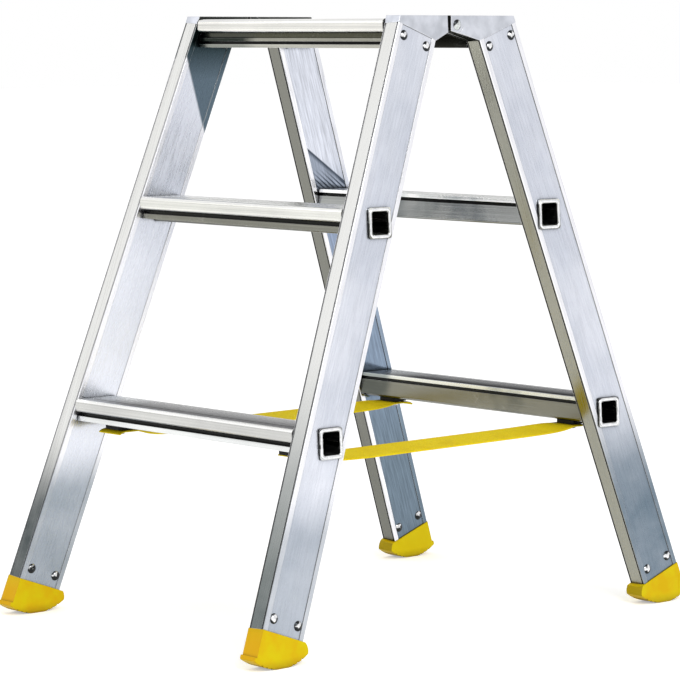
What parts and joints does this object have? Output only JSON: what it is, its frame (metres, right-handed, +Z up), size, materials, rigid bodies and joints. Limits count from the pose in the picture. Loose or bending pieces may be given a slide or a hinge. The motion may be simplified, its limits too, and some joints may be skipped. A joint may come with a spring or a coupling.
{
  "type": "double-sided step ladder",
  "caption": "Folding aluminium A-frame step ladder with ribbed treads on both sides, flared box stiles, fork hinges, yellow rocker feet and webbing spreader straps.",
  "frame": {"origin": "on the floor, under the middle of the open ladder", "axes": "+X along the treads to the right of the front frame, +Y from the front frame to the rear frame, +Z up"},
  "size_m": [0.4652, 0.6762, 0.6935],
  "materials": {
    "stile_aluminium": "brushed mill finish extrusion",
    "tread_aluminium": "bright mill finish extrusion",
    "hinge_aluminium": "satin casting",
    "pin_steel": "plated steel",
    "rivet_metal": "bright",
    "foot_plastic": "moulded",
    "anchor_plastic": "moulded",
    "screw_steel": "plated steel",
    "strap_webbing": "woven webbing"
  },
  "bodies": {
    "front_frame": {"front_left_stile": "stile_aluminium", "front_right_stile": "stile_aluminium", "front_low_tread": "tread_aluminium", "front_mid_tread": "tread_aluminium", "front_top_step": "tread_aluminium", "front_left_hinge_head": "hinge_aluminium", "front_right_hinge_head": "hinge_aluminium", "front_left_foot": "foot_plastic", "front_right_foot": "foot_plastic", "front_foot_rivets": "rivet_metal", "front_hinge_rivets": "rivet_metal", "front_strap_anchors": "anchor_plastic", "front_strap_screws": "screw_steel", "left_strap": "strap_webbing", "right_strap": "strap_webbing"},
    "rear_frame": {"rear_left_stile": "stile_aluminium", "rear_right_stile": "stile_aluminium", "rear_low_tread": "tread_aluminium", "rear_mid_tread": "tread_aluminium", "rear_top_step": "tread_aluminium", "rear_left_hinge_head": "hinge_aluminium", "rear_right_hinge_head": "hinge_aluminium", "rear_left_foot": "foot_plastic", "rear_right_foot": "foot_plastic", "rear_foot_rivets": "rivet_metal", "rear_hinge_rivets": "rivet_metal", "rear_strap_anchors": "anchor_plastic", "rear_strap_screws": "screw_steel", "left_hinge_pin": "pin_steel", "right_hinge_pin": "pin_steel"}
  },
  "joints": [
    {"name": "fold", "type": "hinge", "parent": "front_frame", "child": "rear_frame", "pos_m": [0, 0, 0.683], "axis": [-1, 0, 0], "range_deg": [0, 40], "deforming": ["left_strap", "right_strap"]}
  ]
}
